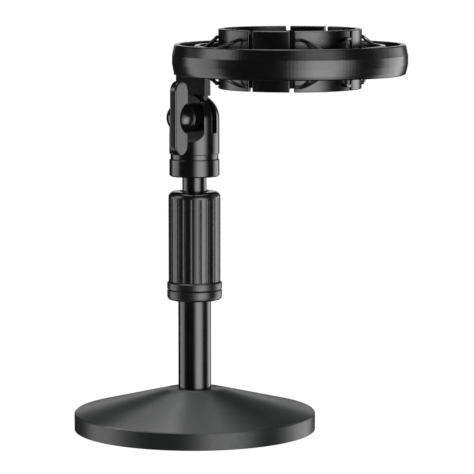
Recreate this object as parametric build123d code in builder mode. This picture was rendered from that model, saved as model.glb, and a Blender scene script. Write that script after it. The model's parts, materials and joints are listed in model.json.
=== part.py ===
from build123d import *
import math
import os

# Desktop microphone stand: weighted round base, fixed pole, twist clutch,
# sliding upper tube, forked tilt swivel with a paddle knob, and an offset
# ring shock mount whose eight jaws hang on springy straps.
# Millimetres and degrees, +Z up. The origin is the centre of the base's
# underside. +X runs from the pole to the ring's centre. The tilt pivot runs
# along Y, with the knob on the near side, -Y.

os.makedirs("parts", exist_ok=True)

COS_45 = math.sqrt(0.5)

# ---------------------------------------------------------------- shared sizes
PAD_H = 1.6              # rubber pad under the base
SOCKET_Z = 12.0          # floor of the pole socket in the base
BASE_BOLT_R = 4.0

POLE_R = 9.5             # fixed pole
POLE_BORE_R = 8.0
POLE_TOP = 118.0

TUBE_R = 7.0             # sliding tube
TUBE_BORE_R = 5.8
TUBE_BOTTOM = 37.0
TUBE_TOP = 149.0

PIVOT_Z = 182.0          # tilt pivot
PIVOT_BOLT_R = 3.0
PIVOT_HOLE_R = PIVOT_BOLT_R + 0.05
POCKET_Y = 4.7           # floor of the pocket in each ear, from the centre plane

RING_X = 66.6            # ring's axis, from the pole's
RING_R = 66.1            # widest radius of the crowned ring
RING_Z0, RING_Z1 = 208.5, 225.4
CHANNEL_FLOOR_Z = 211.8
HOOP_R0, HOOP_R1 = 51.0, 53.6
HOOP_TOP = 224.8


# ---------------------------------------------------------------- helpers
def save(part, name):
    part.label = name
    export_step(part, "parts/" + name + ".step")


def turned(outline, axis_x=0.0):
    """Solid turned about an upright axis from a closed outline of (x, z) points."""
    with BuildPart() as solid:
        with BuildSketch(Plane.XZ):
            with BuildLine():
                Polyline(*outline, close=True)
            make_face()
        revolve(axis=Axis((axis_x, 0, 0), (0, 0, 1)))
    return solid.part


def tube(outer_r, bore_r, z0, z1):
    """Plain upright tube on the pole's axis."""
    with BuildPart() as solid:
        with BuildSketch(Plane.XY.offset(z0)):
            Circle(outer_r)
            Circle(bore_r, mode=Mode.SUBTRACT)
        extrude(amount=z1 - z0)
    return solid.part


def round_head_screw(seat, head_r, head_h, shank_r, shank_length):
    """Screw with its head above the seat plane and its shank below it."""
    with BuildPart() as screw:
        with BuildSketch(seat):
            Circle(head_r)
        extrude(amount=head_h)
        with BuildSketch(seat):
            Circle(shank_r)
        extrude(amount=-shank_length)
    return screw.part


def polar(radius, angle, *z):
    """Point about the ring's axis, with its height if one is given."""
    turn = math.radians(angle)
    return (RING_X + radius * math.cos(turn), radius * math.sin(turn), *z)


def arc_wall(r0, r1, start, end, z0, z1):
    """Upright wall curved about the ring's axis, from start to end degrees."""
    middle = (start + end) / 2
    with BuildPart() as wall:
        with BuildSketch(Plane.XY.offset(z0)):
            with BuildLine():
                ThreePointArc(polar(r1, start), polar(r1, middle), polar(r1, end))
                Line(polar(r1, end), polar(r0, end))
                ThreePointArc(polar(r0, end), polar(r0, middle), polar(r0, start))
                Line(polar(r0, start), polar(r1, start))
            make_face()
        extrude(amount=z1 - z0)
    return wall.part


# ---------------------------------------------------------------- base
BASE_R = 70.0
BASE_BOTTOM = 0.1        # the pad stands this much proud of the iron
RIM_TOP = 10.2           # top of the vertical rim
APEX_Z = 27.9            # where the cone's slope would meet the axis
FLAT_R, FLAT_Z = 16.2, 23.7   # small flat round the foot of the pole
PAD_R = 67.3
PAD_RECESS_R = PAD_R + 0.2
BOLT_RECESS_R, BOLT_RECESS_Z = 12.0, 6.5
WASHER_H = 1.4
WASHER_Z = BOLT_RECESS_Z - WASHER_H
BOLT_HEAD_Z, BOLT_HEAD_R = 2.0, 6.5   # radius across the hexagon's corners
BOLT_SHANK = 17.0
PLUG_H = 13.0


def base_plate():
    """Iron cone with a vertical rim, a pole socket and a bolt recess below."""
    slope = (APEX_Z - RIM_TOP) / BASE_R
    flat_edge_r = FLAT_R + 1.5
    socket_r = POLE_R + 0.02
    bolt_hole_r = BASE_BOLT_R + 0.4
    return turned([
        (BOLT_RECESS_R, PAD_H), (PAD_RECESS_R, PAD_H),
        (PAD_RECESS_R, BASE_BOTTOM), (BASE_R - 0.2, BASE_BOTTOM),
        (BASE_R, BASE_BOTTOM + 0.2), (BASE_R, RIM_TOP - 0.6),
        (BASE_R - 0.6, RIM_TOP + 0.05),
        (flat_edge_r, APEX_Z - slope * flat_edge_r),
        (FLAT_R + 0.5, FLAT_Z - 0.1), (FLAT_R - 0.9, FLAT_Z),
        (socket_r, FLAT_Z), (socket_r, SOCKET_Z),
        (bolt_hole_r, SOCKET_Z), (bolt_hole_r, BOLT_RECESS_Z),
        (BOLT_RECESS_R, BOLT_RECESS_Z)])


def base_pad():
    """Anti-slip pad, one full disc glued into the base's underside."""
    with BuildPart() as pad:
        with BuildSketch():
            Circle(PAD_R)
        extrude(amount=PAD_H)
        chamfer(pad.edges().filter_by(GeomType.CIRCLE).group_by(Axis.Z)[0], 0.3)
    return pad.part


def base_bolt():
    """Hex bolt that pulls the pole into its socket."""
    with BuildPart() as bolt:
        with BuildSketch(Plane.XY.offset(BOLT_HEAD_Z)):
            RegularPolygon(BOLT_HEAD_R, 6)
        extrude(amount=WASHER_Z - BOLT_HEAD_Z)
        with BuildSketch(Plane.XY.offset(WASHER_Z)):
            Circle(BASE_BOLT_R)
        extrude(amount=BOLT_SHANK)
        chamfer(bolt.faces().sort_by(Axis.Z)[-1].edges(), 0.6)
    return bolt.part


def base_washer():
    return tube(9.5, BASE_BOLT_R + 0.2, WASHER_Z, BOLT_RECESS_Z)


# ---------------------------------------------------------------- pole
COLLAR_Z, COLLAR_R = 92.0, 11.5
COLLET_R, COLLET_TIP_R = 11.0, 8.6
COLLET_TAPER_Z, COLLET_TOP = 123.0, 131.0
SLIT_Z, SLIT_W = 121.0, 1.2   # the collet's four slits


def lower_tube():
    return tube(POLE_R, POLE_BORE_R, SOCKET_Z, POLE_TOP)


def tube_plug():
    """Threaded plug pressed into the foot of the pole, takes the base bolt."""
    with BuildPart() as plug:
        with BuildSketch(Plane.XY.offset(SOCKET_Z)):
            Circle(POLE_BORE_R)
            Circle(BASE_BOLT_R, mode=Mode.SUBTRACT)
        extrude(amount=PLUG_H)
        chamfer(plug.faces().sort_by(Axis.Z)[-1].edges(), 0.5)
    return plug.part


def pole_collar():
    """Threaded collar on the head of the pole: the clutch sleeve screws on it."""
    return turned([
        (POLE_R, COLLAR_Z), (COLLAR_R - 0.3, COLLAR_Z), (COLLAR_R, COLLAR_Z + 0.3),
        (COLLAR_R, POLE_TOP - 0.8), (COLLAR_R - 0.5, POLE_TOP), (POLE_R, POLE_TOP)])


def collet():
    """Split nylon collet that the sleeve squeezes onto the sliding tube."""
    bore_r = TUBE_R + 0.04
    with BuildPart() as solid:
        with BuildSketch(Plane.XZ):
            with BuildLine():
                Polyline(
                    (bore_r, POLE_TOP), (COLLET_R, POLE_TOP),
                    (COLLET_R, COLLET_TAPER_Z), (COLLET_TIP_R, COLLET_TOP),
                    (bore_r, COLLET_TOP), close=True)
            make_face()
        revolve(axis=Axis.Z)
        with BuildSketch(Plane.XY.offset(SLIT_Z)):
            with PolarLocations(9.0, 4):
                Rectangle(6.0, SLIT_W)
        extrude(amount=COLLET_TOP + 1.0 - SLIT_Z, mode=Mode.SUBTRACT)
    return solid.part


# ---------------------------------------------------------------- clutch
CAP_R = 15.9
CAP_Z0, CAP_Z1 = 75.9, 86.6
CAP_GROOVE_Z = 82.0
SPIGOT_TOP = 91.0        # the cap's spigot inside the sleeve
SLEEVE_R = 15.0
SLEEVE_BORE_R = 12.6
SLEEVE_TOP = 138.9
RIB_TOP = 135.2
GROOVE_COUNT = 20
GROOVE_R = 0.85
GROOVE_PHASE = -59.0     # angle of one groove from +X


def clutch_sleeve():
    """Grip sleeve: rounded shoulder, narrow lengthwise grooves, tapered seat."""
    shoulder_r = SLEEVE_R - 3.3
    tube_hole_r = TUBE_R + 0.25
    with BuildPart() as sleeve:
        with BuildSketch(Plane.XZ):
            with BuildLine():
                Polyline(
                    (SLEEVE_BORE_R, CAP_Z1), (SLEEVE_R - 0.3, CAP_Z1),
                    (SLEEVE_R, CAP_Z1 + 0.3), (SLEEVE_R, RIB_TOP + 0.3))
                ThreePointArc(
                    (SLEEVE_R, RIB_TOP + 0.3),
                    (SLEEVE_R - 0.95, SLEEVE_TOP - 0.95),
                    (shoulder_r, SLEEVE_TOP))
                Polyline(
                    (shoulder_r, SLEEVE_TOP),
                    (8.6, SLEEVE_TOP), (8.3, SLEEVE_TOP - 0.3),
                    (8.3, SLEEVE_TOP - 1.6), (tube_hole_r, SLEEVE_TOP - 1.6),
                    (tube_hole_r, COLLET_TOP + 3.0),
                    (COLLET_TIP_R + 0.15, COLLET_TOP + 0.2),
                    (COLLET_R + 0.15, COLLET_TAPER_Z),
                    (SLEEVE_BORE_R, COLLET_TAPER_Z - 2.0), (SLEEVE_BORE_R, CAP_Z1))
            make_face()
        revolve(axis=Axis.Z)
        # lengthwise grooves between the ribs, from the cap to the shoulder
        groove_z = CAP_Z1 - 1.0
        with BuildSketch(Plane.XY.offset(groove_z)):
            with PolarLocations(SLEEVE_R + 0.1, GROOVE_COUNT, start_angle=GROOVE_PHASE):
                Circle(GROOVE_R)
        extrude(amount=RIB_TOP - groove_z, mode=Mode.SUBTRACT)
    return sleeve.part


def clutch_liner():
    """Brass thread liner pressed in the sleeve."""
    return tube(SLEEVE_BORE_R, COLLAR_R + 0.08, COLLAR_Z + 1.0, POLE_TOP - 1.0)


def clutch_cap():
    """End cap with a V groove round it and a spigot up into the sleeve."""
    bore_r = POLE_R + 0.08
    return turned([
        (bore_r, CAP_Z0), (CAP_R - 2.2, CAP_Z0), (CAP_R - 1.1, CAP_Z0 + 0.3),
        (CAP_R - 0.3, CAP_Z0 + 1.1), (CAP_R, CAP_Z0 + 2.2),
        (CAP_R, CAP_GROOVE_Z - 0.5), (CAP_R - 0.8, CAP_GROOVE_Z),
        (CAP_R, CAP_GROOVE_Z + 0.5), (CAP_R, CAP_Z1 - 0.7), (CAP_R - 0.7, CAP_Z1),
        (SLEEVE_BORE_R, CAP_Z1), (SLEEVE_BORE_R, SPIGOT_TOP), (bore_r, SPIGOT_TOP)])


# ---------------------------------------------------------------- sliding tube
GUIDE_H = 8.0
STUD_BOTTOM = 136.0
STUD_R = 7.9
SWIVEL_R = 14.45         # swivel barrel, also the radius of its domed head
LOCK_Z0, LOCK_Z1 = 147.7, 157.7
SWIVEL_BORE_TOP = 166.8


def upper_tube():
    return tube(TUBE_R, TUBE_BORE_R, TUBE_BOTTOM, TUBE_TOP)


def tube_guide():
    """Nylon guide bush at the foot of the sliding tube, also its upper stop."""
    return tube(POLE_BORE_R - 0.06, TUBE_R, TUBE_BOTTOM, TUBE_BOTTOM + GUIDE_H)


def upper_stud():
    """Threaded stud (5/8 in) in the head of the sliding tube."""
    top = SWIVEL_BORE_TOP - 0.8
    return turned([
        (0, STUD_BOTTOM), (TUBE_BORE_R - 0.4, STUD_BOTTOM),
        (TUBE_BORE_R, STUD_BOTTOM + 0.4), (TUBE_BORE_R, TUBE_TOP),
        (STUD_R, TUBE_TOP), (STUD_R, top - 0.6), (STUD_R - 0.6, top), (0, top)])


def lock_collar():
    """Lock collar under the swivel, jams it on the stud."""
    return turned([
        (STUD_R, TUBE_TOP), (TUBE_R + 0.1, TUBE_TOP), (TUBE_R + 0.1, LOCK_Z0),
        (SWIVEL_R - 0.7, LOCK_Z0), (SWIVEL_R, LOCK_Z0 + 0.7),
        (SWIVEL_R, LOCK_Z1 - 0.35), (SWIVEL_R - 0.35, LOCK_Z1), (STUD_R, LOCK_Z1)])


# ---------------------------------------------------------------- swivel
NECK_R, NECK_TOP = 13.8, 160.6
INSERT_R = 10.0
DOME_Z = 181.0           # centre of the domed head
SLOT_FLOOR = 173.0       # bottom of the slot between the two ears
SLOT_W = 4.6
SLOT_H = 40.0            # runs out past the dome
POCKET_R = 12.4          # round top of the knob's pocket, about the pivot
POCKET_Z = 168.3         # bottom of the knob's pocket
POCKET_CORNER = 5.6      # radius of its lower corners
NUT_APOTHEM = 5.0        # half the nut's width across flats
NUT_H = 5.0


def swivel_fork():
    """Barrel with a recessed neck and a domed head, slotted into two ears.

    The near ear has a deep pocket for the knob's hub, the far ear a hex
    socket for the captive nut.
    """
    neck_z = LOCK_Z1 + 0.05
    with BuildPart() as fork:
        with BuildSketch(Plane.XZ):
            with BuildLine():
                Polyline(
                    (0, DOME_Z + SWIVEL_R), (0, SWIVEL_BORE_TOP),
                    (INSERT_R, SWIVEL_BORE_TOP), (INSERT_R, neck_z),
                    (NECK_R, neck_z), (NECK_R, NECK_TOP),
                    (SWIVEL_R - 0.3, NECK_TOP), (SWIVEL_R, NECK_TOP + 0.3),
                    (SWIVEL_R, DOME_Z))
                ThreePointArc(
                    (SWIVEL_R, DOME_Z),
                    (SWIVEL_R * COS_45, DOME_Z + SWIVEL_R * COS_45),
                    (0, DOME_Z + SWIVEL_R))
            make_face()
        revolve(axis=Axis.Z)
        # knob pocket in the near ear: round on top, a rounded U below
        floor_x = POCKET_R - POCKET_CORNER
        side_z = POCKET_Z + POCKET_CORNER
        corner_in = POCKET_CORNER * (1 - COS_45)
        with BuildSketch(Plane.XZ.offset(POCKET_Y)):
            with BuildLine():
                Line((-POCKET_R, PIVOT_Z), (-POCKET_R, side_z))
                ThreePointArc(
                    (-POCKET_R, side_z),
                    (-POCKET_R + corner_in, POCKET_Z + corner_in),
                    (-floor_x, POCKET_Z))
                Line((-floor_x, POCKET_Z), (floor_x, POCKET_Z))
                ThreePointArc(
                    (floor_x, POCKET_Z),
                    (POCKET_R - corner_in, POCKET_Z + corner_in),
                    (POCKET_R, side_z))
                Line((POCKET_R, side_z), (POCKET_R, PIVOT_Z))
                ThreePointArc(
                    (POCKET_R, PIVOT_Z), (0, PIVOT_Z + POCKET_R),
                    (-POCKET_R, PIVOT_Z))
            make_face()
        extrude(amount=12, mode=Mode.SUBTRACT)
        # slot between the ears
        with BuildSketch(Plane.YZ):
            with Locations((0, SLOT_FLOOR + SLOT_H / 2)):
                Rectangle(SLOT_W, SLOT_H)
        extrude(amount=20, both=True, mode=Mode.SUBTRACT)
        # pivot hole, and the hex socket in the far ear
        with BuildSketch(Plane.XZ):
            with Locations((0, PIVOT_Z)):
                Circle(PIVOT_HOLE_R)
        extrude(amount=20, both=True, mode=Mode.SUBTRACT)
        with BuildSketch(Plane.XZ.offset(-POCKET_Y)):
            with Locations((0, PIVOT_Z)):
                RegularPolygon(NUT_APOTHEM + 0.03, 6, major_radius=False)
        extrude(amount=-14, mode=Mode.SUBTRACT)
    return fork.part


def thread_insert():
    """Brass thread insert pressed into the swivel's bore, runs on the stud."""
    return tube(INSERT_R, STUD_R + 0.05, LOCK_Z1 + 0.2, SWIVEL_BORE_TOP - 0.3)


def pivot_nut():
    """Captive hex nut at the bottom of the far ear's socket."""
    with BuildPart() as nut:
        with BuildSketch(Plane.XZ.offset(-POCKET_Y)):
            with Locations((0, PIVOT_Z)):
                RegularPolygon(NUT_APOTHEM, 6, major_radius=False)
                Circle(PIVOT_HOLE_R, mode=Mode.SUBTRACT)
        extrude(amount=-NUT_H)
    return nut.part


# ---------------------------------------------------------------- knob
# Distances named _Y in this section run from the centre plane towards -Y.
HUB_R = 8.9              # round hub, runs down into the near ear's pocket
HUB_Y0, HUB_Y1 = 4.9, 11.35
BALL_Y = 11.9            # centre of the rounded outer end, which has the hub's radius
HUB_GROOVE = 0.25        # depth of the fine groove between hub and ball
RECESS_R, RECESS_Y = 6.35, 5.6   # washer recess in the hub's inner face
PADDLE_X, PADDLE_T = 2.3, 4.4    # paddle, set to one side of the pivot
PADDLE_Y0, PADDLE_Y1 = 14.8, 27.0
PADDLE_LENGTH = 42.6
SCOOP_X, SCOOP_Y, SCOOP_R = PADDLE_X + 1.1, 13.8, 8.95
BOLT_BORE_Y = 5.0
BOLT_SEAT_Y = 9.0        # underside of the bolt's head
KNOB_BOLT_HEAD_R, KNOB_BOLT_HEAD_H = 5.0, 3.0
KNOB_BOLT_SHANK = 19.5


def knob_paddle():
    """Paddle with round ends and its long edges eased."""
    with BuildPart() as paddle:
        with BuildSketch(Plane.YZ.offset(PADDLE_X)):
            with Locations((-(PADDLE_Y0 + PADDLE_Y1) / 2, PIVOT_Z + 0.4)):
                SlotOverall(PADDLE_LENGTH, PADDLE_Y1 - PADDLE_Y0, rotation=90)
        extrude(amount=PADDLE_T)
        fillet(paddle.edges().filter_by(
            lambda edge: abs(edge.center().X - PADDLE_X) < 0.01
            or abs(edge.center().X - PADDLE_X - PADDLE_T) < 0.01), 0.9)
        # round scoop out of the +X face
        with BuildSketch(Plane.YZ.offset(SCOOP_X)):
            with Locations((-SCOOP_Y, PIVOT_Z)):
                Circle(SCOOP_R)
        extrude(amount=6.0, mode=Mode.SUBTRACT)
    return paddle.part


def knob():
    paddle = knob_paddle()
    groove_r = HUB_R - HUB_GROOVE
    with BuildPart() as solid:
        # hub with a fine groove and a round outer end, turned about the pivot
        with BuildSketch(Plane.XY.offset(PIVOT_Z)):
            with BuildLine():
                Polyline(
                    (0, -BALL_Y - HUB_R), (0, -RECESS_Y), (RECESS_R, -RECESS_Y),
                    (RECESS_R, -HUB_Y0), (HUB_R - 0.4, -HUB_Y0),
                    (HUB_R, -HUB_Y0 - 0.4), (HUB_R, -HUB_Y1 + HUB_GROOVE),
                    (groove_r, -HUB_Y1), (groove_r, -BALL_Y + HUB_GROOVE),
                    (HUB_R, -BALL_Y))
                ThreePointArc(
                    (HUB_R, -BALL_Y),
                    (HUB_R * COS_45, -BALL_Y - HUB_R * COS_45),
                    (0, -BALL_Y - HUB_R))
            make_face()
        revolve(axis=Axis((0, 0, PIVOT_Z), (0, 1, 0)))
        add(paddle)
        # bore for the bolt and its moulded-in round head
        with BuildSketch(Plane.XZ.offset(BOLT_BORE_Y)):
            with Locations((0, PIVOT_Z)):
                Circle(PIVOT_BOLT_R)
        extrude(amount=BOLT_SEAT_Y - BOLT_BORE_Y, mode=Mode.SUBTRACT)
        with BuildSketch(Plane.XZ.offset(BOLT_SEAT_Y)):
            with Locations((0, PIVOT_Z)):
                Circle(KNOB_BOLT_HEAD_R)
        extrude(amount=KNOB_BOLT_HEAD_H, mode=Mode.SUBTRACT)
    return solid.part


def knob_bolt():
    """M6 pivot bolt, its round head moulded into the knob."""
    seat = Plane(origin=(0, -BOLT_SEAT_Y, PIVOT_Z), z_dir=(0, -1, 0))
    return round_head_screw(
        seat, KNOB_BOLT_HEAD_R, KNOB_BOLT_HEAD_H, PIVOT_BOLT_R, KNOB_BOLT_SHANK)


def knob_washer():
    with BuildPart() as washer:
        with BuildSketch(Plane.XZ.offset(POCKET_Y + 0.05)):
            with Locations((0, PIVOT_Z)):
                Circle(6.2)
                Circle(PIVOT_BOLT_R, mode=Mode.SUBTRACT)
        extrude(amount=0.8)
    return washer.part


# ---------------------------------------------------------------- ring
RING_WALL_R = 62.2       # inside of the ring's wall
RING_FOOT_R = RING_R - 2.3
SCREW_X = 7.2            # upright bracket screw, from the pole's axis
SCREW_Z = 215.2          # radial bracket screw
SCREW_HOLE_R = 1.6

# Outer profile of the crowned ring, bottom to top: (x, z) on the ring's +X side.
RING_FACE = [(RING_X + radius, z) for radius, z in (
    (RING_FOOT_R, RING_Z0), (RING_R - 1.3, RING_Z0 + 0.5),
    (RING_R - 0.8, RING_Z0 + 2.0), (RING_R - 0.1, 213.9),
    (RING_R, 214.3), (RING_R, 219.5), (RING_R - 0.1, 219.9),
    (RING_R - 1.1, RING_Z1 - 0.5), (RING_R - 1.5, RING_Z1))]
RING_AXIS = Axis((RING_X, 0, 0), (0, 0, 1))


def outer_ring():
    """Crowned outer ring with a floor web; the channel stays open at the top."""
    wall_x = RING_X + RING_WALL_R
    hoop_x = RING_X + HOOP_R1
    with BuildPart() as ring:
        with BuildSketch(Plane.XZ):
            with BuildLine():
                Polyline(
                    *RING_FACE,
                    (wall_x + 0.3, RING_Z1), (wall_x, RING_Z1 - 0.3),
                    (wall_x, CHANNEL_FLOOR_Z), (hoop_x, CHANNEL_FLOOR_Z),
                    (hoop_x, RING_Z0 + 0.8), (hoop_x + 0.8, RING_Z0), close=True)
            make_face()
        revolve(axis=RING_AXIS)
        # hole for the upright bracket screw, through the floor web
        with BuildSketch(Plane.XY.offset(RING_Z0)):
            with Locations((SCREW_X, 0)):
                Circle(SCREW_HOLE_R)
        extrude(amount=5.0, mode=Mode.SUBTRACT)
        # hole for the radial bracket screw, through the wall
        with BuildSketch(Plane.YZ):
            with Locations((0, SCREW_Z)):
                Circle(SCREW_HOLE_R)
        extrude(amount=6.0, mode=Mode.SUBTRACT)
    return ring.part


def inner_hoop():
    """Inner hoop that carries the straps."""
    x0, x1 = RING_X + HOOP_R0, RING_X + HOOP_R1
    bottom = RING_Z0 + 1.0
    return turned([
        (x0, bottom), (x1, bottom), (x1, HOOP_TOP - 0.4), (x1 - 0.4, HOOP_TOP),
        (x0 + 0.4, HOOP_TOP), (x0, HOOP_TOP - 0.4)], axis_x=RING_X)


# ---------------------------------------------------------------- bracket
WEB_X0, WEB_X1 = -11.0, 9.4
WEB_MID = (WEB_X0 + WEB_X1) / 2
WEB_BOTTOM = 186.0
WEB_ARC_R = 15.4         # web's lower edge, about the pivot
WEB_HALF_T = 2.9
TONGUE_R = 8.6
TONGUE_HALF_T = 2.2
BRACKET_W = 12.0         # foot plate and saddle, along Y
BRACKET_CORNER = 1.5
FOOT_H = 2.6
SADDLE_X1 = 1.5
SADDLE_H = 11.5
UPRIGHT_SCREW_R = 1.25
RADIAL_START_X = -12.0   # radial cuts start outside the saddle
RADIAL_SEAT_X = -8.4     # seat of the radial screw's head


def ring_bracket():
    """Thin tongue in the fork's slot, a thicker web above it, and a saddle
    that hugs the ring's wall from outside and below."""
    with BuildPart() as bracket:
        # web, its lower edge an arc about the pivot
        with BuildSketch(Plane.XZ):
            with BuildLine():
                Polyline(
                    (WEB_X0, WEB_BOTTOM), (WEB_X1, WEB_BOTTOM),
                    (WEB_X1, RING_Z0), (WEB_X0, RING_Z0), close=True)
            make_face()
            with Locations((0, PIVOT_Z)):
                Circle(WEB_ARC_R, mode=Mode.SUBTRACT)
        extrude(amount=WEB_HALF_T, both=True)
        # tongue, full round below the pivot
        with BuildSketch(Plane.XZ):
            with Locations((0, PIVOT_Z)):
                Circle(TONGUE_R)
            with Locations((WEB_MID, 191.5)):
                Rectangle(18.0, 11.5)
            with Locations((0, PIVOT_Z + 3)):
                Rectangle(2 * TONGUE_R, 6)
        extrude(amount=TONGUE_HALF_T, both=True)
        # foot plate under the ring's web
        with BuildSketch(Plane.XY.offset(RING_Z0 - FOOT_H)):
            with Locations((WEB_MID, 0)):
                RectangleRounded(WEB_X1 - WEB_X0, BRACKET_W, BRACKET_CORNER)
        extrude(amount=FOOT_H)
        # saddle outside the ring's wall
        with BuildSketch(Plane.XY.offset(RING_Z0 - 0.5)):
            with Locations(((WEB_X0 + SADDLE_X1) / 2, 0)):
                RectangleRounded(SADDLE_X1 - WEB_X0, BRACKET_W, BRACKET_CORNER)
        extrude(amount=SADDLE_H)
        # pocket that takes the ring's crowned wall
        with BuildSketch(Plane.XZ):
            with BuildLine():
                Polyline(
                    *RING_FACE, (RING_X + 40.0, RING_Z1),
                    (RING_X + 40.0, RING_Z0), close=True)
            make_face()
        revolve(axis=RING_AXIS, mode=Mode.SUBTRACT)
        # pivot hole
        with BuildSketch(Plane.XZ):
            with Locations((0, PIVOT_Z)):
                Circle(PIVOT_HOLE_R)
        extrude(amount=10, both=True, mode=Mode.SUBTRACT)
        # upright screw hole
        with BuildSketch(Plane.XY.offset(RING_Z0 - 8.5)):
            with Locations((SCREW_X, 0)):
                Circle(UPRIGHT_SCREW_R)
        extrude(amount=9.0, mode=Mode.SUBTRACT)
        # radial screw hole, then the counterbore for its head
        for radius, depth in (
                (SCREW_HOLE_R, 14.0), (2.9, RADIAL_SEAT_X - RADIAL_START_X)):
            with BuildSketch(Plane.YZ.offset(RADIAL_START_X)):
                with Locations((0, SCREW_Z)):
                    Circle(radius)
            extrude(amount=depth, mode=Mode.SUBTRACT)
    return bracket.part


def bracket_screw_upright():
    """Screw from the channel floor down into the bracket."""
    return round_head_screw(
        Plane(origin=(SCREW_X, 0, CHANNEL_FLOOR_Z), z_dir=(0, 0, 1)),
        head_r=2.6, head_h=1.8,
        shank_r=UPRIGHT_SCREW_R, shank_length=CHANNEL_FLOOR_Z - RING_Z0 + 8.0)


def bracket_screw_radial():
    """Screw from outside through the saddle into the ring's wall."""
    return round_head_screw(
        Plane(origin=(RADIAL_SEAT_X, 0, SCREW_Z), z_dir=(-1, 0, 0)),
        head_r=2.7, head_h=1.9, shank_r=1.55, shank_length=12.4)


# ---------------------------------------------------------------- jaws
# Four wide and four narrow jaws; the pattern repeats every quarter turn.
JAW_R0, JAW_R1 = 37.2, 40.2
JAW_Z0, JAW_Z1 = 200.7, 234.1
GAP_HALF = 1.7           # half the gap between neighbouring jaws, degrees
WIDE_START = -54.0       # middle of the gap where the first wide jaw starts
WIDE_END = 1.5           # middle of the gap where it ends
GAP_WEB_R0, GAP_WEB_R1 = 37.9, 38.9
GAP_WEB_Z0, GAP_WEB_Z1 = 202.8, 231.5


def jaw(start_gap, end_gap):
    """One jaw, an arc of wall between the middles of two gaps."""
    wall = arc_wall(
        JAW_R0, JAW_R1, start_gap + GAP_HALF, end_gap - GAP_HALF, JAW_Z0, JAW_Z1)
    with BuildPart() as solid:
        add(wall)
        # softened upright corners, then the top and bottom rims
        fillet(solid.edges().filter_by(Axis.Z), 0.6)
        chamfer(solid.faces().filter_by(Axis.Z).edges(), 0.35)
    return solid.part


def jaw_web(gap):
    """Thin upright strip across a gap, set back from the jaws' outer face."""
    return arc_wall(
        GAP_WEB_R0, GAP_WEB_R1, gap - GAP_HALF, gap + GAP_HALF, GAP_WEB_Z0, GAP_WEB_Z1)


# ---------------------------------------------------------------- straps
ARM_H, ARM_T = 2.0, 1.5  # section of an arm
ARM_INSET = 0.6          # arm's start, in from the jaw's end, degrees
FOOT_INSET = 15.0        # foot bar's end, in from the arm's start, degrees
FOOT_R0, FOOT_R1 = 49.5, HOOP_R0 + 0.5
FOOT_HALF_H = 1.1
TRIM_Z, TRIM_H = 190, 60  # range of the trimming cylinders
# side (1 upper, -1 lower): (height at the jaw, height at the hoop)
STRAP_HEIGHTS = {1: (229.4, HOOP_TOP - 1.2), -1: (203.7, RING_Z0 + 2.2)}
# Stations along an arm: radius, degrees in from the arm's start, fraction of
# the way from jaw height to hoop height, further shift towards mid height.
ARM_STATIONS = (
    (40.9, 0.0, 0.0, 0.0),
    (41.5, 5.0, 0.0, 0.1),
    (43.3, 9.5, 0.22, 0.0),
    (47.0, 13.5, 0.58, 0.0),
    (51.5, 17.0, 1.0, 0.0),
)


def strap(start_gap, end_gap, side):
    """Springy strap of one wide jaw: two arms leave the jaw's ends level and
    slope outward to the hoop, where a curved foot bar joins them."""
    start = start_gap + GAP_HALF + ARM_INSET
    end = end_gap - GAP_HALF - ARM_INSET
    jaw_z, hoop_z = STRAP_HEIGHTS[side]
    foot_bar = arc_wall(
        FOOT_R0, FOOT_R1, start + FOOT_INSET, end - FOOT_INSET,
        hoop_z - FOOT_HALF_H, hoop_z + FOOT_HALF_H)
    with BuildPart() as solid:
        for angle, inward in ((start, 1), (end, -1)):
            with BuildLine() as path:
                Spline(*[
                    polar(radius, angle + inward * turn,
                          jaw_z + (hoop_z - jaw_z) * fraction - side * shift)
                    for radius, turn, fraction, shift in ARM_STATIONS])
            section = Plane(origin=path.line @ 0, x_dir=(0, 0, 1), z_dir=path.line % 0)
            with BuildSketch(section):
                Rectangle(ARM_H, ARM_T)
            sweep(path=path.line, normal=(0, 0, 1))
        add(foot_bar)
        # trim flush with the jaw's wall and the hoop
        for radius, mode in ((JAW_R1, Mode.SUBTRACT), (HOOP_R0, Mode.INTERSECT)):
            with BuildSketch(Plane.XY.offset(TRIM_Z)):
                with Locations((RING_X, 0)):
                    Circle(radius)
            extrude(amount=TRIM_H, mode=mode)
    return solid.part


# ---------------------------------------------------------------- export
for piece in (
        base_plate, base_pad, base_bolt, base_washer,
        lower_tube, tube_plug, pole_collar, collet,
        clutch_sleeve, clutch_liner, clutch_cap,
        upper_tube, tube_guide, upper_stud, lock_collar,
        swivel_fork, thread_insert, pivot_nut,
        knob, knob_bolt, knob_washer,
        outer_ring, inner_hoop, ring_bracket,
        bracket_screw_upright, bracket_screw_radial):
    save(piece(), piece.__name__)

for k in range(4):
    wide_start = WIDE_START + 90 * k
    wide_end = WIDE_END + 90 * k
    save(jaw(wide_start, wide_end), f"jaw_wide_{k + 1}")
    save(jaw(wide_end - 90, wide_start), f"jaw_narrow_{k + 1}")
    save(jaw_web(wide_start), f"jaw_web_{2 * k + 1}")
    save(jaw_web(wide_end), f"jaw_web_{2 * k + 2}")
    save(strap(wide_start, wide_end, 1), f"strap_upper_{k + 1}")
    save(strap(wide_start, wide_end, -1), f"strap_lower_{k + 1}")
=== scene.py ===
# Looks, straps, studio and camera for a black cradle hung by straps inside an
# outer ring, with a turned base plate below. Metres, Z up, standing on z = 0.
# The base plate is turned about the Z axis; the ring's axis is upright at x = RING_X.
import json
import math

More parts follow.
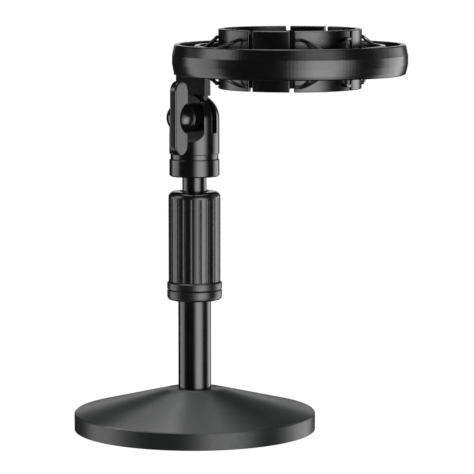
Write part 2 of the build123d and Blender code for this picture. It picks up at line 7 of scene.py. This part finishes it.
import bpy
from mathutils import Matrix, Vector


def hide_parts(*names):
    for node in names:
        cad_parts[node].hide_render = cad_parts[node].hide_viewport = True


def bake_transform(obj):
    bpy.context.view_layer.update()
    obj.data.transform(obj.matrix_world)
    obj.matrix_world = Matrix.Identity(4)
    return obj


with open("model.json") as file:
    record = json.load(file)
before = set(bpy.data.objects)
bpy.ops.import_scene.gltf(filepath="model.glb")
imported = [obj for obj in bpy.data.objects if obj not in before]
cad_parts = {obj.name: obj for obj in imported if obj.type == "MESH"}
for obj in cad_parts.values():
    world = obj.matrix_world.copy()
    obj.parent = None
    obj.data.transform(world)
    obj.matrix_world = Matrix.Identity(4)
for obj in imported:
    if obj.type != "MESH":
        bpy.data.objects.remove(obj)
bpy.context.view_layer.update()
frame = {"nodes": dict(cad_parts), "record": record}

scene = bpy.context.scene
pieces = frame["nodes"]

RING_X = 0.0666             # x of the ring's upright axis
MM = 0.001                  # one millimetre, in metres
NOISE_SPAN = (0.3, 0.7)     # values that most of a noise texture falls between


# ------------------------------------------------------------------ shader graphs
class Graph:
    """Fills a node tree with nodes and links them, starting from empty."""

    def __init__(self, tree):
        self.tree = tree
        for old in list(tree.nodes):
            tree.nodes.remove(old)

    def put(self, socket, value):
        """Link an output to the socket, or set the socket to a plain value."""
        if isinstance(value, bpy.types.NodeSocket):
            self.tree.links.new(value, socket)
        else:
            socket.default_value = value

    def node(self, kind, inputs=None, **settings):
        node = self.tree.nodes.new(kind)
        for key, value in settings.items():
            setattr(node, key, value)
        for key, value in (inputs or {}).items():
            self.put(node.inputs[key], value)
        return node

    def math(self, operation, *operands, clamp=False):
        return self.node("ShaderNodeMath", dict(enumerate(operands)),
                         operation=operation, use_clamp=clamp).outputs[0]

    def product(self, first, *others):
        for other in others:
            first = self.math("MULTIPLY", first, other)
        return first

    def length(self, x, y):
        return self.math("SQRT", self.math("ADD", self.product(x, x), self.product(y, y)))

    def stretch(self, vector, factors):
        return self.node("ShaderNodeVectorMath", {0: vector, 1: factors},
                         operation="MULTIPLY").outputs["Vector"]

    def dot(self, vector, other):
        return self.node("ShaderNodeVectorMath", {0: vector, 1: other},
                         operation="DOT_PRODUCT").outputs["Value"]

    def split(self, vector):
        return self.node("ShaderNodeSeparateXYZ", {0: vector}).outputs

    def ramp(self, value, span, to=(0.0, 1.0), smooth=True):
        """Map the span of values onto the range 'to'."""
        return self.node("ShaderNodeMapRange", {
            "Value": value, "From Min": span[0], "From Max": span[1],
            "To Min": to[0], "To Max": to[1],
        }, interpolation_type="SMOOTHSTEP" if smooth else "LINEAR").outputs["Result"]

    def noise(self, vector, scale, detail, rough):
        return self.node("ShaderNodeTexNoise", {
            "Vector": vector, "Scale": scale, "Detail": detail, "Roughness": rough,
        }).outputs["Fac"]

    def mix(self, share, first, second, **settings):
        return self.node("ShaderNodeMix", {0: share, 6: first, 7: second},
                         data_type="RGBA", **settings).outputs[2]

    def mix_shader(self, share, first, second):
        return self.node("ShaderNodeMixShader", {0: share, 1: first, 2: second}).outputs[0]

    def colour(self, channels):
        return self.node("ShaderNodeCombineColor", dict(enumerate(channels))).outputs[0]

    def bevel(self, radius, samples):
        """Normal softened across edges."""
        return self.node("ShaderNodeBevel", {"Radius": radius}, samples=samples).outputs[0]

    def bump(self, height, normal):
        """Normal pushed by a height in metres."""
        return self.node("ShaderNodeBump", {"Distance": 1.0, "Height": height,
                                            "Normal": normal}).outputs[0]


def empty_material(name):
    material = bpy.data.materials.new(name)
    material.use_nodes = True
    graph = Graph(material.node_tree)
    output = graph.node("ShaderNodeOutputMaterial")
    return material, graph, output


def surface_material(name):
    """A material with a Principled shader, and its object coordinates."""
    material, graph, output = empty_material(name)
    shader = graph.node("ShaderNodeBsdfPrincipled")
    graph.put(output.inputs["Surface"], shader.outputs[0])
    place = graph.node("ShaderNodeTexCoord").outputs["Object"]
    return material, graph, shader.inputs, place


# ------------------------------------------------------------------ materials
def lathe_height(graph, place, pitch, depth):
    """Lathe lines: noise that depends only on radius and height."""
    x, y, z = graph.split(place)
    profile = graph.node("ShaderNodeCombineXYZ", {0: graph.length(x, y), 2: z}).outputs[0]
    lines = graph.noise(profile, scale=1.0 / pitch, detail=2.0, rough=0.6)
    return graph.product(lines, depth)


def rib_height(graph, place, count, depth, bottom, top):
    """Upright ribs round the outside of the ring, between two heights."""
    fade = 0.0006               # distance over which ribs rise to full height
    inner_radius = 0.0640
    x, y, z = graph.split(place)
    angle = graph.math("ARCTAN2", y, graph.math("SUBTRACT", x, RING_X))
    wave = graph.math("SINE", graph.product(angle, float(count)))
    rib = graph.ramp(wave, span=(-0.9, 0.9))
    # each rib is a touch different, as moulded ones are
    cell = graph.noise(graph.stretch(place, (260.0, 260.0, 4.0)),
                       scale=1.0, detail=1.0, rough=0.5)
    rib = graph.product(rib, graph.ramp(cell, NOISE_SPAN, to=(0.4, 1.0), smooth=False))
    gate = graph.product(graph.ramp(z, span=(bottom, bottom + fade)),
                         graph.ramp(z, span=(top, top - fade)))
    radius = graph.length(graph.math("SUBTRACT", x, RING_X), y)
    gate = graph.product(gate, graph.ramp(radius, span=(inner_radius, inner_radius + fade)))
    return graph.product(rib, gate, depth)


def finish(name, colour, worn, rough, rough_vary, grain, grain_depth, bevel, wear,
           specular=0.5, stretch=(1, 1, 1), blotch=45.0, blotch_vary=0.15,
           turned=0.0, lathe=None, ribs=None):
    """A satin or powder finish: colour drift, roughness drift, fine surface
    grain, softened edges, and a little wear where the edges catch.

    grain and blotch are noise scales; the other sizes are in metres."""
    material, graph, inputs, place = surface_material(name)
    stretched = graph.stretch(place, stretch)
    slow = graph.noise(place, scale=blotch, detail=4.0, rough=0.6)
    fine = graph.noise(stretched, scale=grain, detail=3.0, rough=0.6)
    middle = graph.noise(stretched, scale=grain * 0.16, detail=2.0, rough=0.5)

    # edges: where the widely bevelled normal leaves the true normal
    soft_normal = graph.bevel(bevel, samples=6)
    true_normal = graph.node("ShaderNodeNewGeometry").outputs["Normal"]
    facing = graph.dot(graph.bevel(bevel * 2.2, samples=4), true_normal)
    edge = graph.ramp(facing, span=(0.995, 0.80))
    spots = graph.ramp(graph.noise(place, scale=900.0, detail=3.0, rough=0.7),
                       span=(0.45, 0.72))
    rubbed = graph.math("MULTIPLY", graph.product(edge, spots), wear, clamp=True)

    drift = graph.ramp(slow, NOISE_SPAN, to=(1.0 - blotch_vary, 1.0 + blotch_vary),
                       smooth=False)
    tone = graph.ramp(fine, NOISE_SPAN, to=(0.93, 1.07), smooth=False)
    shade = graph.colour([graph.product(drift, tone)] * 3)
    shaded = graph.mix(1.0, (*colour, 1.0), shade, blend_type="MULTIPLY")
    graph.put(inputs["Base Color"], graph.mix(rubbed, shaded, (*worn, 1.0)))

    # roughness: drift, grain and a slight polish on rubbed edges
    rough_drift = graph.ramp(slow, NOISE_SPAN, to=(rough - rough_vary, rough + rough_vary),
                             smooth=False)
    rough_grain = graph.ramp(middle, span=(0.35, 0.65),
                             to=(-rough_vary * 0.6, rough_vary * 0.6), smooth=False)
    polish = graph.product(rubbed, -0.08)
    graph.put(inputs["Roughness"],
              graph.math("ADD", graph.math("ADD", rough_drift, rough_grain), polish,
                         clamp=True))
    inputs["Specular IOR Level"].default_value = specular
    inputs["Coat Roughness"].default_value = 0.2

    # the middle grain counts a little less than the fine one
    height = graph.product(graph.math("ADD", fine, graph.product(middle, 0.8)), grain_depth)
    if lathe:
        height = graph.math("ADD", height, lathe_height(graph, place, **lathe))
    if ribs:
        height = graph.math("ADD", height, rib_height(graph, place, **ribs))
    graph.put(inputs["Normal"], graph.bump(height, soft_normal))

    if turned:
        # fine lines run round the axis, so highlights spread along the radius
        # and stay narrow round it
        tangent = graph.node("ShaderNodeTangent", direction_type="RADIAL", axis="Z")
        graph.put(inputs["Tangent"], tangent.outputs[0])
        inputs["Anisotropic"].default_value = turned
        inputs["Anisotropic Rotation"].default_value = 0.25
    return material


def turned_metal(name, colour, rough):
    """Turned or plated metal, slightly stained, with fine lines across Z."""
    material, graph, inputs, place = surface_material(name)
    lines = graph.noise(graph.stretch(place, (1.0, 1.0, 60.0)),
                        scale=120.0, detail=2.0, rough=0.6)
    stain = graph.noise(place, scale=90.0, detail=4.0, rough=0.6)
    stained = [level * share for level, share in zip(colour, (0.7, 0.66, 0.6))]
    graph.put(inputs["Base Color"],
              graph.mix(graph.ramp(stain, span=(0.4, 0.75)), (*colour, 1.0), (*stained, 1.0)))
    inputs["Metallic"].default_value = 1.0
    graph.put(inputs["Roughness"],
              graph.ramp(lines, NOISE_SPAN, to=(rough * 0.75, rough * 1.25)))
    line_depth = 0.00003
    height = graph.product(lines, line_depth)
    graph.put(inputs["Normal"], graph.bump(height, graph.bevel(0.0002, samples=4)))
    return material


def grey(level):
    return (level, level, level)


DEEP_BLACK = (0.0030, 0.0030, 0.0032)

FINISHES = {
    "powder_coat": dict(
        colour=(0.0082, 0.0097, 0.0090), worn=(0.06, 0.06, 0.058), rough=0.45,
        rough_vary=0.03, grain=2600.0, grain_depth=0.000012, bevel=0.0006, wear=0.15,
        blotch=26.0, blotch_vary=0.10, turned=0.8, lathe=dict(pitch=0.0007, depth=0.000008)),
    "gloss_black_metal": dict(
        colour=(0.0032, 0.0032, 0.0034), worn=grey(0.05), rough=0.185, rough_vary=0.025,
        grain=3200.0, grain_depth=0.0000025, bevel=0.00030, wear=0.2, stretch=(1, 1, 0.15)),
    "grip_black": dict(
        colour=(0.0045, 0.0045, 0.0047), worn=grey(0.04), rough=0.22, rough_vary=0.03,
        grain=2600.0, grain_depth=0.000006, bevel=0.0004, wear=0.3),
    "cap_black": dict(
        colour=(0.0050, 0.0050, 0.0052), worn=grey(0.05), rough=0.31, rough_vary=0.03,
        grain=2600.0, grain_depth=0.000003, bevel=0.00035, wear=0.25,
        lathe=dict(pitch=0.0006, depth=0.00003)),
    "moulded_black": dict(
        colour=DEEP_BLACK, worn=grey(0.04), rough=0.18, rough_vary=0.02,
        grain=2400.0, grain_depth=0.000006, bevel=0.0004, wear=0.25),
    "ring_black": dict(
        colour=DEEP_BLACK, worn=grey(0.04), rough=0.21, rough_vary=0.025,
        grain=2400.0, grain_depth=0.000004, bevel=0.0006, wear=0.2,
        ribs=dict(count=200, depth=0.000010, bottom=0.2093, top=0.2247)),
    "nylon_black": dict(
        colour=DEEP_BLACK, worn=grey(0.04), rough=0.23, rough_vary=0.03,
        grain=2200.0, grain_depth=0.000004, bevel=0.0003, wear=0.25),
    "strap_black": dict(
        colour=(0.0070, 0.0070, 0.0072), worn=grey(0.05), rough=0.26, rough_vary=0.04,
        grain=2200.0, grain_depth=0.000006, bevel=0.00025, wear=0.2),
    # painted shade: the ring bracket gets a darker black that barely reflects, so its front
    # faces read as shaded
    "bracket_painted_shade": dict(
        colour=(0.0024, 0.0024, 0.0026), worn=grey(0.04), rough=0.22, rough_vary=0.04,
        grain=2400.0, grain_depth=0.000010, bevel=0.0004, wear=0.3, specular=0.15,
        blotch=160.0),
    # painted shade: the jaw webs get an extra dark, dull black that barely reflects, standing
    # in for the shade in the gaps between the jaws
    "web_painted_shade": dict(
        colour=(0.0012, 0.0012, 0.0013), worn=grey(0.02), rough=0.55, rough_vary=0.05,
        grain=2200.0, grain_depth=0.000006, bevel=0.0002, wear=0.1, specular=0.12),
    "pad_rubber": dict(
        colour=grey(0.012), worn=grey(0.04), rough=0.72, rough_vary=0.06,
        grain=1400.0, grain_depth=0.00006, bevel=0.0004, wear=0.1),
    "nylon_white": dict(
        colour=(0.68, 0.66, 0.60), worn=(0.5, 0.48, 0.44), rough=0.42, rough_vary=0.05,
        grain=1500.0, grain_depth=0.00001, bevel=0.0002, wear=0.2),
}
materials = {name: finish(name, **look) for name, look in FINISHES.items()}
materials["plated_steel"] = turned_metal("plated_steel", colour=(0.46, 0.46, 0.47), rough=0.34)
materials["thread_brass"] = turned_metal("thread_brass", colour=(0.70, 0.52, 0.26), rough=0.30)

# pieces with a finish of their own in place of their slot's; the bracket's is a darker, barely
# reflective black with painted shade
OWN_FINISH = {"outer_ring": "ring_black", "clutch_cap": "cap_black",
              "ring_bracket": "bracket_painted_shade"}


def dress_pieces():
    slots = {part["node"]: part["material_slot"] for part in frame["record"]["subparts"]}
    for name, piece in pieces.items():
        key = OWN_FINISH.get(name, slots[name])
        # the jaw webs take the painted-shade black
        if name.startswith("jaw_web"):
            key = "web_painted_shade"
        piece.data.materials.clear()
        piece.data.materials.append(materials[key])


dress_pieces()

# ------------------------------------------------------------------ straps
# Millimetres, and degrees round the ring's axis.
STRAP_COUNT = 4             # in each of the upper and lower sets
STRAP_PITCH = 90
STRAP_FROM, STRAP_TO = -54.0, 1.5   # sector of the first strap
STRAP_INSET = 2.4           # strap end from the end of its sector
STRAP_WIDTH = 1.4
ARM_HEIGHT = 2.0
FOOT_HEIGHT = 2.1
FOOT_RADIUS = 50.25
FOOT_INSET = 15.2           # foot end from the strap's end
CORNER_SHARE = 0.28         # corner radius as a share of the section's thinner side

# Arm from the cradle out to the ring: radius, turn from the strap's end,
# share of the way from cradle height to foot height, extra shift toward mid height
ARM_STATIONS = (
    (40.9, 0.0, 0.0, 0.0),
    (41.5, 5.0, 0.0, 0.1),
    (43.3, 9.5, 0.22, 0.0),
    (47.0, 13.5, 0.58, 0.0),
    (50.2, 16.2, 0.90, 0.0),
)
# level: side (1 up, -1 down), height at the cradle, height of the foot
STRAP_LEVELS = {"upper": (1, 229.4, 223.6), "lower": (-1, 203.7, 210.7)}


def polar(radius, degrees, z):
    """Point round the ring's axis, from millimetres and degrees."""
    return Vector((RING_X + radius * MM * math.cos(math.radians(degrees)),
                   radius * MM * math.sin(math.radians(degrees)), z * MM))


def smooth_curve(points, steps):
    """Catmull-Rom curve through the points."""
    points = [points[0] * 2 - points[1], *points, points[-1] * 2 - points[-2]]
    curve = []
    for before, start, end, after in zip(points, points[1:], points[2:], points[3:]):
        for step in range(steps):
            u = step / steps
            curve.append(0.5 * (
                (2 * start) + (end - before) * u
                + (2 * before - 5 * start + 4 * end - after) * u * u
                + (3 * start - before - 3 * end + after) * u ** 3))
    curve.append(points[-2].copy())
    return curve


def rounded_section(width, height, radius, steps=4):
    """Points of a rounded rectangle, width across and height up."""
    across, up = width / 2 - radius, height / 2 - radius
    points = []
    for x, y, start in ((across, up, 0), (-across, up, 90),
                        (-across, -up, 180), (across, -up, 270)):
        for i in range(steps + 1):
            angle = math.radians(start + 90 * i / steps)
            points.append((x + radius * math.cos(angle), y + radius * math.sin(angle)))
    return points


def sweep(curve, width, height, verts, faces):
    """Add a closed band with upright section to verts and faces."""
    section = rounded_section(width * MM, height * MM, min(width, height) * CORNER_SHARE * MM)
    size, last = len(section), len(curve) - 1
    rings = []
    for i, point in enumerate(curve):
        along = (curve[min(i + 1, last)] - curve[max(i - 1, 0)]).normalized()
        side = along.cross(Vector((0, 0, 1))).normalized()
        up = side.cross(along).normalized()
        rings.append(range(len(verts), len(verts) + size))
        verts.extend(point + side * x + up * y for x, y in section)
    for ring, after in zip(rings, rings[1:]):
        for j in range(size):
            k = (j + 1) % size
            faces.append((ring[j], ring[k], after[k], after[j]))
    faces.append(tuple(reversed(rings[0])))
    faces.append(tuple(rings[-1]))


def make_strap(index, level):
    """Two arms rising from the cradle to a foot that lies on the ring."""
    side, cradle_z, foot_z = STRAP_LEVELS[level]
    start = STRAP_FROM + STRAP_PITCH * index + STRAP_INSET
    end = STRAP_TO + STRAP_PITCH * index - STRAP_INSET
    verts, faces = [], []
    for angle, turn_sign in ((start, 1), (end, -1)):
        arm = [polar(radius, angle + turn_sign * turn,
                     cradle_z + (foot_z - cradle_z) * share - side * shift)
               for radius, turn, share, shift in ARM_STATIONS]
        sweep(smooth_curve(arm, steps=14), STRAP_WIDTH, ARM_HEIGHT, verts, faces)
    foot_start, foot_end = start + FOOT_INSET, end - FOOT_INSET
    foot = [polar(FOOT_RADIUS, foot_start + (foot_end - foot_start) * i / 6.0, foot_z)
            for i in range(7)]
    sweep(smooth_curve(foot, steps=4), STRAP_WIDTH, FOOT_HEIGHT, verts, faces)

    mesh = bpy.data.meshes.new("strap")
    mesh.from_pydata([tuple(vert) for vert in verts], [], faces)
    mesh.validate()
    mesh.polygons.foreach_set("use_smooth", [True] * len(mesh.polygons))
    mesh.update()
    strap = bpy.data.objects.new(f"strap_{level}_look_{index + 1}", mesh)
    scene.collection.objects.link(strap)
    mesh.materials.append(materials["strap_black"])
    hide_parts(f"strap_{level}_{index + 1}")
    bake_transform(strap)


for index in range(STRAP_COUNT):
    for level in STRAP_LEVELS:
        make_strap(index, level)

# ------------------------------------------------------------------ stage
VIEW_TURN = math.radians(35.5)      # camera's turn about Z
right = Vector((math.cos(VIEW_TURN), math.sin(VIEW_TURN), 0))
ahead = Vector((-math.sin(VIEW_TURN), math.cos(VIEW_TURN), 0))
WHITE = (1, 1, 1, 1)


def make_floor():
    """White floor that only the camera sees, and that is clear from below."""
    half, drop = 9, 0.0001
    mesh = bpy.data.meshes.new("floor")
    mesh.from_pydata([(-half, -half, 0), (half, -half, 0), (half, half, 0), (-half, half, 0)],
                     [], [(0, 1, 2, 3)])
    floor = bpy.data.objects.new("floor", mesh)
    scene.collection.objects.link(floor)
    floor.location.z = -drop
    material, graph, output = empty_material("floor_white")
    glow = graph.node("ShaderNodeEmission", {"Color": WHITE, "Strength": 1.0}).outputs[0]
    clear = graph.node("ShaderNodeBsdfTransparent").outputs[0]
    from_below = graph.node("ShaderNodeNewGeometry").outputs["Backfacing"]
    graph.put(output.inputs["Surface"], graph.mix_shader(from_below, glow, clear))
    mesh.materials.append(material)
    for ray in ("diffuse", "glossy", "transmission", "shadow"):
        setattr(floor, "visible_" + ray, False)


make_floor()

# Soft light panels, in degrees. Azimuth is from the direction to the camera,
# positive to the camera's right.
# azimuth from, to, softness; elevation from, to, softness; power
PANELS = (
    (-120, -77, 7, -40, 6, 6, 2.45),       # left, behind
    (-98, -60, 9, 8, 32, 8, 3.4),          # its upper half, leaning in
    (8, 54, 16, -40, 4, 6, 6.5),           # front right, low
    (8, 48, 12, 8, 22, 8, 2.9),            # its upper part
    (102, 142, 10, -40, 6, 6, 3.1),        # right, behind
    (94, 134, 10, 8, 34, 8, 0.55),         # its upper half
    (-196, -164, 6, 0, 12, 4, 1.0),        # backdrop glow, left half
    (164, 196, 6, 0, 12, 4, 1.0),          # backdrop glow, right half
    (-200, 200, 4, 62, 95, 8, 4.2),        # overhead
)
ROOM_GLOW = 0.02                # light from the room between the panels
STUDIO_TINT = (1.0, 1.0, 1.0)
DEGREES_PER_RADIAN = 57.29578


def make_world():
    """White to the camera; to everything else a dark room with the panels."""
    world = bpy.data.worlds.new("studio")
    scene.world = world
    world.use_nodes = True
    graph = Graph(world.node_tree)
    output = graph.node("ShaderNodeOutputWorld")
    direction = graph.node("ShaderNodeTexCoord").outputs["Generated"]
    rightward = graph.dot(direction, tuple(right))
    to_camera = graph.dot(direction, tuple(-ahead))
    azimuth = graph.product(graph.math("ARCTAN2", rightward, to_camera), DEGREES_PER_RADIAN)
    upward = graph.split(direction)[2]
    elevation = graph.product(graph.math("ARCSINE", upward), DEGREES_PER_RADIAN)

    def band(angle, low, high, soft):
        return graph.product(graph.ramp(angle, span=(low - soft, low + soft)),
                             graph.ramp(angle, span=(high + soft, high - soft)))

    panels = [graph.product(band(azimuth, *row[:3]), band(elevation, *row[3:6]), row[6])
              for row in PANELS]
    total = ROOM_GLOW
    for panel in panels:
        total = graph.math("ADD", total, panel)

    def background(colour):
        return graph.node("ShaderNodeBackground", {"Color": colour, "Strength": 1.0}).outputs[0]

    studio = background(graph.colour([graph.product(total, tint) for tint in STUDIO_TINT]))
    white = background(WHITE)
    seen = graph.node("ShaderNodeLightPath").outputs["Is Camera Ray"]
    graph.put(output.inputs["Surface"], graph.mix_shader(seen, studio, white))


make_world()

# Two soft lamps that only the base plate receives: they draw the pale sectors
# on the turned cone. Angles as for the panels.
# name, energy, angular size, azimuth, elevation
BASE_LAMPS = (
    ("base_sector", 0.60, 16.0, -175.0, 54.0),
    ("base_sector_left", 1.35, 20.0, -117.0, 52.0),
)


def make_base_lamps():
    only_base = bpy.data.collections.new("lit_by_base_lamps")
    only_base.objects.link(pieces["base_plate"])
    for name, energy, *angles in BASE_LAMPS:
        size, azimuth, elevation = map(math.radians, angles)
        light = bpy.data.lights.new(name, "SUN")
        light.energy = energy
        light.angle = size
        lamp = bpy.data.objects.new(name, light)
        scene.collection.objects.link(lamp)
        to_lamp = (right * math.sin(azimuth) * math.cos(elevation)
                   - ahead * math.cos(azimuth) * math.cos(elevation)
                   + Vector((0, 0, math.sin(elevation))))
        lamp.rotation_euler = to_lamp.to_track_quat("Z", "Y").to_euler()
        lamp.light_linking.receiver_collection = only_base
        lamp.light_linking.blocker_collection = only_base


make_base_lamps()

scene.view_settings.view_transform = "Standard"
scene.view_settings.look = "None"
scene.view_settings.exposure = 0.0
scene.view_settings.gamma = 1.0

# ------------------------------------------------------------------ camera
CAMERA_SHIFT = 0.024561     # to the right of the Z axis
CAMERA_DISTANCE = 1.6
CAMERA_HEIGHT = 0.297356
CAMERA_DIP = 0.1152         # radians below level


def make_camera():
    lens = bpy.data.cameras.new("camera")
    lens.sensor_width = 36.0
    lens.lens = 211.576861
    lens.clip_start = 0.05
    lens.clip_end = 50.0
    camera = bpy.data.objects.new("camera", lens)
    scene.collection.objects.link(camera)
    camera.location = (right * CAMERA_SHIFT - ahead * CAMERA_DISTANCE
                       + Vector((0, 0, CAMERA_HEIGHT)))
    camera.rotation_euler = (math.pi / 2 - CAMERA_DIP, 0.0, VIEW_TURN)
    scene.camera = camera


make_camera()
